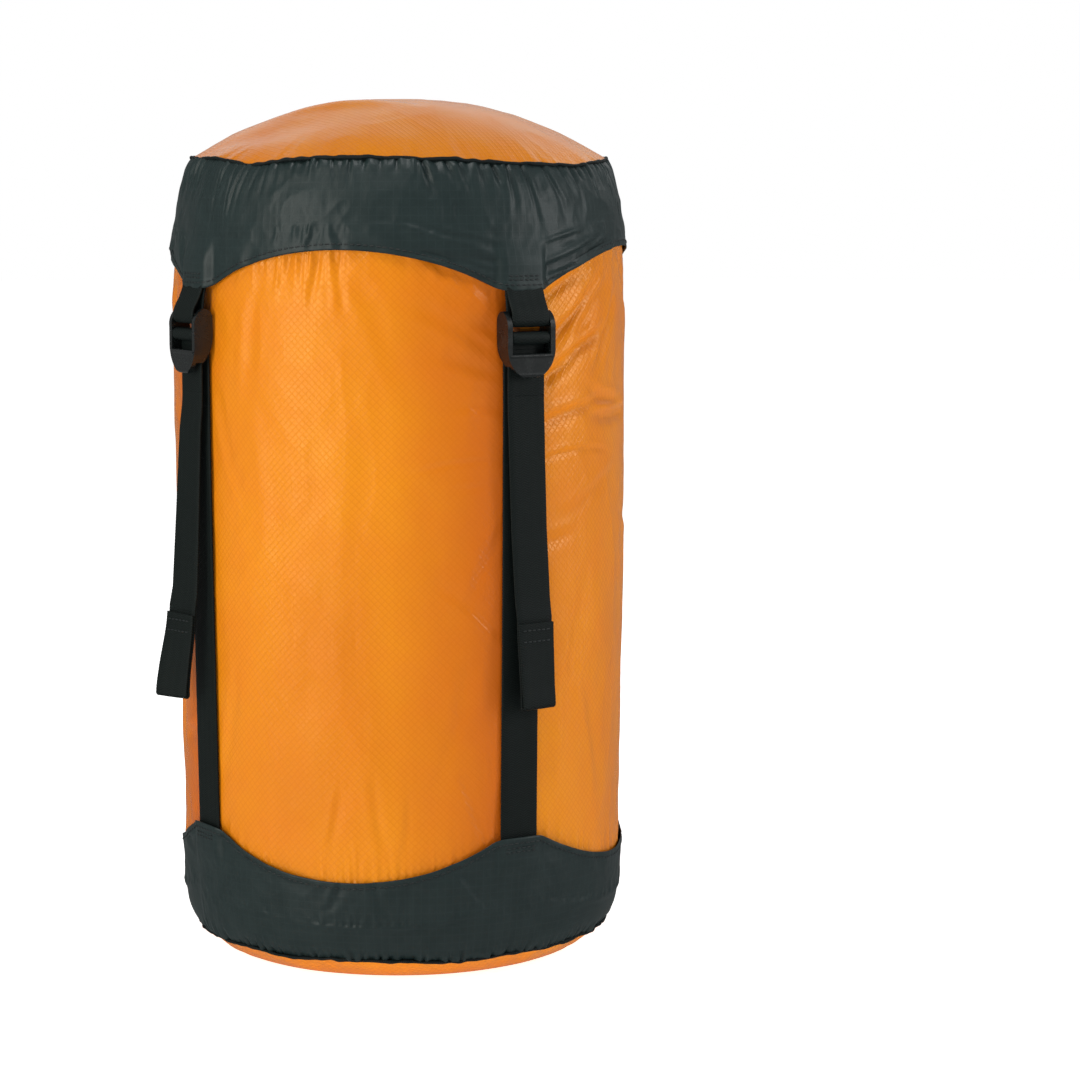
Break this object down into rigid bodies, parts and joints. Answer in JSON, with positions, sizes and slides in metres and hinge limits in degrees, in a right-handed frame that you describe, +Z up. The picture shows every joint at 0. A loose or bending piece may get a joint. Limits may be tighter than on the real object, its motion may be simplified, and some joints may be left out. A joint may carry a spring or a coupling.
{
  "type": "compression sack",
  "caption": "Round fabric sack with a drawcord mouth under a scalloped lid, drawn down by webbing straps through ladder locks.",
  "frame": {"origin": "on the floor, at the middle of the sack's round base", "axes": "+Z up along the sack's axis; the wall's seam is at +Y, and the straps stand at 45 degrees to X and Y"},
  "size_m": [0.2246, 0.2246, 0.415],
  "materials": {
    "orange_nylon": "thin coated ripstop nylon, slightly glossy",
    "black_nylon": "dark ripstop nylon with a fine grid, matt",
    "binding": "dark woven binding tape",
    "webbing": "dark woven webbing",
    "thread": "dark sewing thread",
    "cord": "dark braided cord",
    "buckle_plastic": "dark satin acetal",
    "spring_steel": "bright drawn wire",
    "label": "plain woven label"
  },
  "bodies": {
    "root": {"base_panel": "orange_nylon", "base_ring": "black_nylon", "base_binding": "binding", "base_tacks": "thread", "wall_lower": "orange_nylon", "side_seam": "orange_nylon", "side_label": "label", "strap_front_right": "webbing", "strap_back_right": "webbing", "strap_back_left": "webbing", "strap_front_left": "webbing"},
    "wall_fold": {"wall_middle": "orange_nylon"},
    "mouth": {"wall_upper": "orange_nylon", "mouth_gather": "orange_nylon", "mouth_hem": "orange_nylon", "drawcord": "cord", "cord_lock_barrel": "buckle_plastic", "cord_lock_spring": "spring_steel"},
    "lock_button": {"cord_lock_button": "buckle_plastic"},
    "lid": {"lid_panel": "orange_nylon", "lid_ring": "black_nylon", "lid_binding": "binding", "lid_tacks": "thread", "buckle_loop_front_right": "webbing", "buckle_loop_back_right": "webbing", "buckle_loop_back_left": "webbing", "buckle_loop_front_left": "webbing"},
    "buckle_front_right": {"ladder_lock_front_right": "buckle_plastic", "strap_turn_front_right": "webbing"},
    "neck_front_right": {"strap_neck_front_right": "webbing"},
    "tail_front_right": {"strap_tail_front_right": "webbing", "tab_tack_front_right": "thread"},
    "buckle_back_right": {"ladder_lock_back_right": "buckle_plastic", "strap_turn_back_right": "webbing"},
    "neck_back_right": {"strap_neck_back_right": "webbing"},
    "tail_back_right": {"strap_tail_back_right": "webbing", "tab_tack_back_right": "thread"},
    "buckle_back_left": {"ladder_lock_back_left": "buckle_plastic", "strap_turn_back_left": "webbing"},
    "neck_back_left": {"strap_neck_back_left": "webbing"},
    "tail_back_left": {"strap_tail_back_left": "webbing", "tab_tack_back_left": "thread"},
    "buckle_front_left": {"ladder_lock_front_left": "buckle_plastic", "strap_turn_front_left": "webbing"},
    "neck_front_left": {"strap_neck_front_left": "webbing"},
    "tail_front_left": {"strap_tail_front_left": "webbing", "tab_tack_front_left": "thread"}
  },
  "joints": [
    {"name": "compress", "type": "slide", "parent": "root", "child": "mouth", "axis": [0, 0, 1], "range_m": [-0.19, 0], "deforming": ["strap_front_right", "strap_back_right", "strap_back_left", "strap_front_left", "side_seam"]},
    {"name": "wall_shorten", "type": "slide", "parent": "root", "child": "wall_fold", "axis": [0, 0, 1], "range_m": [-0.0951, 0]},
    {"name": "lid_lift", "type": "slide", "parent": "mouth", "child": "lid", "axis": [0, 0, 1], "range_m": [0, 0.11]},
    {"name": "cord_lock_press", "type": "slide", "parent": "mouth", "child": "lock_button", "axis": [0, 0, -1], "range_m": [0, 0.003], "stiffness_N_per_m": 400, "springref_m": -0.002, "deforming": ["cord_lock_spring"]},
    {"name": "buckle_tilt_front_right", "type": "hinge", "parent": "lid", "child": "buckle_front_right", "pos_m": [0.08174, -0.08174, 0.312], "axis": [-0.7071, -0.7071, 0], "range_deg": [0, 60]},
    {"name": "neck_bend_front_right", "type": "hinge", "parent": "buckle_front_right", "child": "neck_front_right", "pos_m": [0.08043, -0.08043, 0.2984], "axis": [-0.7071, -0.7071, 0], "range_deg": [-60.1, 0.1]},
    {"name": "tail_swing_front_right", "type": "hinge", "parent": "neck_front_right", "child": "tail_front_right", "pos_m": [0.08043, -0.08043, 0.2835], "axis": [-0.7071, -0.7071, 0], "range_deg": [0, 90]},
    {"name": "buckle_tilt_back_right", "type": "hinge", "parent": "lid", "child": "buckle_back_right", "pos_m": [0.08174, 0.08174, 0.312], "axis": [0.7071, -0.7071, 0], "range_deg": [0, 60]},
    {"name": "neck_bend_back_right", "type": "hinge", "parent": "buckle_back_right", "child": "neck_back_right", "pos_m": [0.08043, 0.08043, 0.2984], "axis": [0.7071, -0.7071, 0], "range_deg": [-60.1, 0.1]},
    {"name": "tail_swing_back_right", "type": "hinge", "parent": "neck_back_right", "child": "tail_back_right", "pos_m": [0.08043, 0.08043, 0.2835], "axis": [0.7071, -0.7071, 0], "range_deg": [0, 90]},
    {"name": "buckle_tilt_back_left", "type": "hinge", "parent": "lid", "child": "buckle_back_left", "pos_m": [-0.08174, 0.08174, 0.312], "axis": [0.7071, 0.7071, 0], "range_deg": [0, 60]},
    {"name": "neck_bend_back_left", "type": "hinge", "parent": "buckle_back_left", "child": "neck_back_left", "pos_m": [-0.08043, 0.08043, 0.2984], "axis": [0.7071, 0.7071, 0], "range_deg": [-60.1, 0.1]},
    {"name": "tail_swing_back_left", "type": "hinge", "parent": "neck_back_left", "child": "tail_back_left", "pos_m": [-0.08043, 0.08043, 0.2835], "axis": [0.7071, 0.7071, 0], "range_deg": [0, 90]},
    {"name": "buckle_tilt_front_left", "type": "hinge", "parent": "lid", "child": "buckle_front_left", "pos_m": [-0.08174, -0.08174, 0.312], "axis": [-0.7071, 0.7071, 0], "range_deg": [0, 60]},
    {"name": "neck_bend_front_left", "type": "hinge", "parent": "buckle_front_left", "child": "neck_front_left", "pos_m": [-0.08043, -0.08043, 0.2984], "axis": [-0.7071, 0.7071, 0], "range_deg": [-60.1, 0.1]},
    {"name": "tail_swing_front_left", "type": "hinge", "parent": "neck_front_left", "child": "tail_front_left", "pos_m": [-0.08043, -0.08043, 0.2835], "axis": [-0.7071, 0.7071, 0], "range_deg": [0, 90]}
  ],
  "couplings": [
    {"joint": "wall_shorten", "follows": "compress", "ratio": 0.5},
    {"joint": "neck_bend_front_right", "follows": "buckle_tilt_front_right", "ratio": -1},
    {"joint": "neck_bend_back_right", "follows": "buckle_tilt_back_right", "ratio": -1},
    {"joint": "neck_bend_back_left", "follows": "buckle_tilt_back_left", "ratio": -1},
    {"joint": "neck_bend_front_left", "follows": "buckle_tilt_front_left", "ratio": -1}
  ]
}
